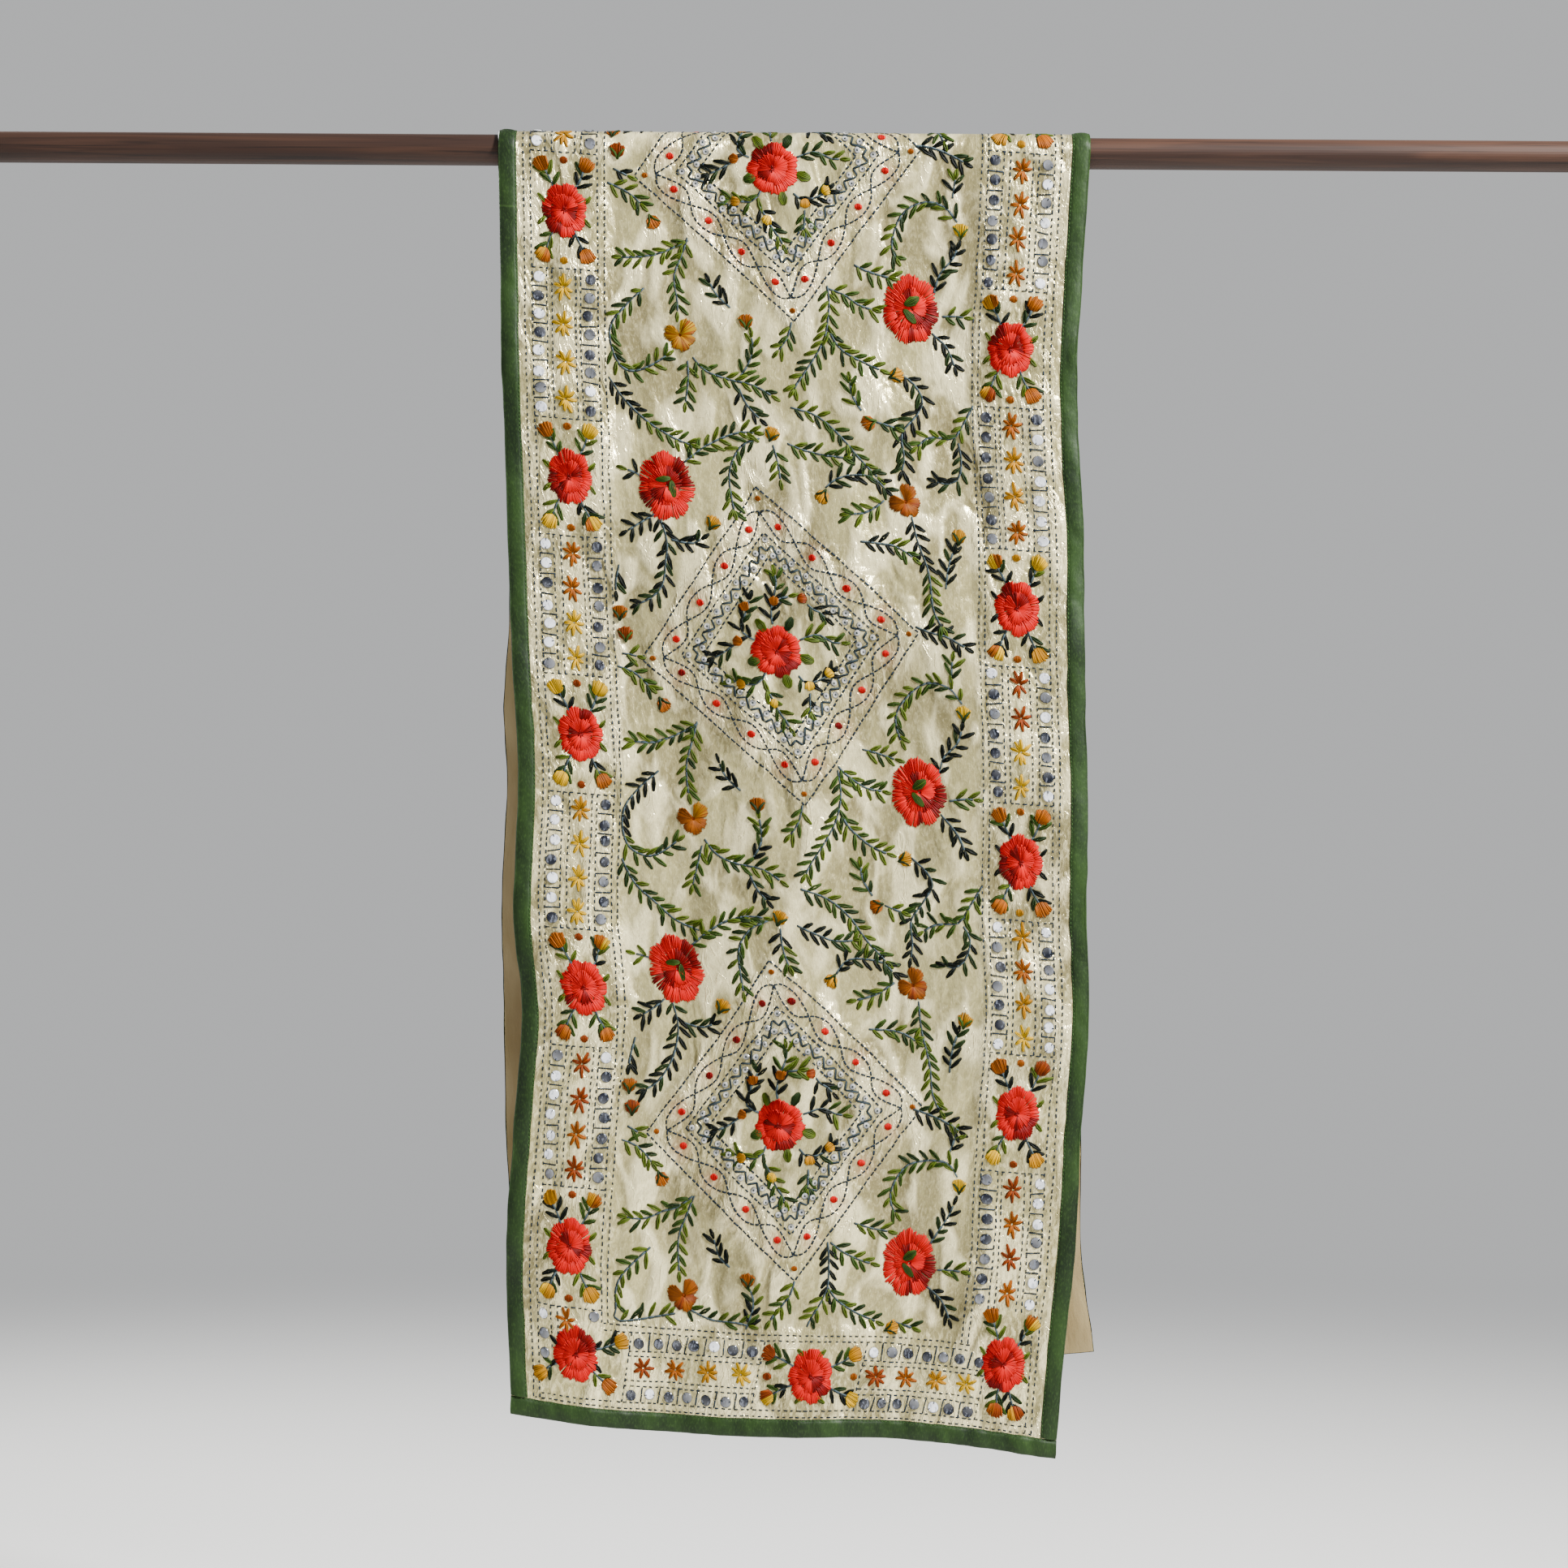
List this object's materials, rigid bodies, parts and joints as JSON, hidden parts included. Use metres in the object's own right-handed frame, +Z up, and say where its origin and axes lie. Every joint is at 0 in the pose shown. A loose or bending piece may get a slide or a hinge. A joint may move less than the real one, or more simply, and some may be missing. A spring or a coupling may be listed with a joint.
{
  "type": "embroidered stole on a wooden rod",
  "caption": "Long lined silk stole with flower embroidery, mirror work and a green satin border, folded over a round wooden rod and hanging down on both sides.",
  "frame": {"origin": "middle of the rod's axis, where the rod is held up", "axes": "+X along the rod, to the right as seen from the front; -Y out of the embroidered front drop; +Z up"},
  "size_m": [1.32, 0.063, 1.0636],
  "materials": {
    "walnut": "oiled dark walnut with a soft sheen",
    "lining": "plain cream satin lining",
    "tissue_silk": "cream tissue silk with a soft sheen",
    "green_satin": "dark green satin ribbon",
    "thread": "untwisted silk floss, satin stitched, red in the flowers",
    "mirror_foil": "small round silver mirrors and sequins"
  },
  "bodies": {
    "root": {"rod": "walnut", "lining": "lining", "face_panel": "tissue_silk", "band_left": "green_satin", "band_right": "green_satin", "band_front_hem": "green_satin", "band_back_hem": "green_satin"}
  },
  "joints": []
}
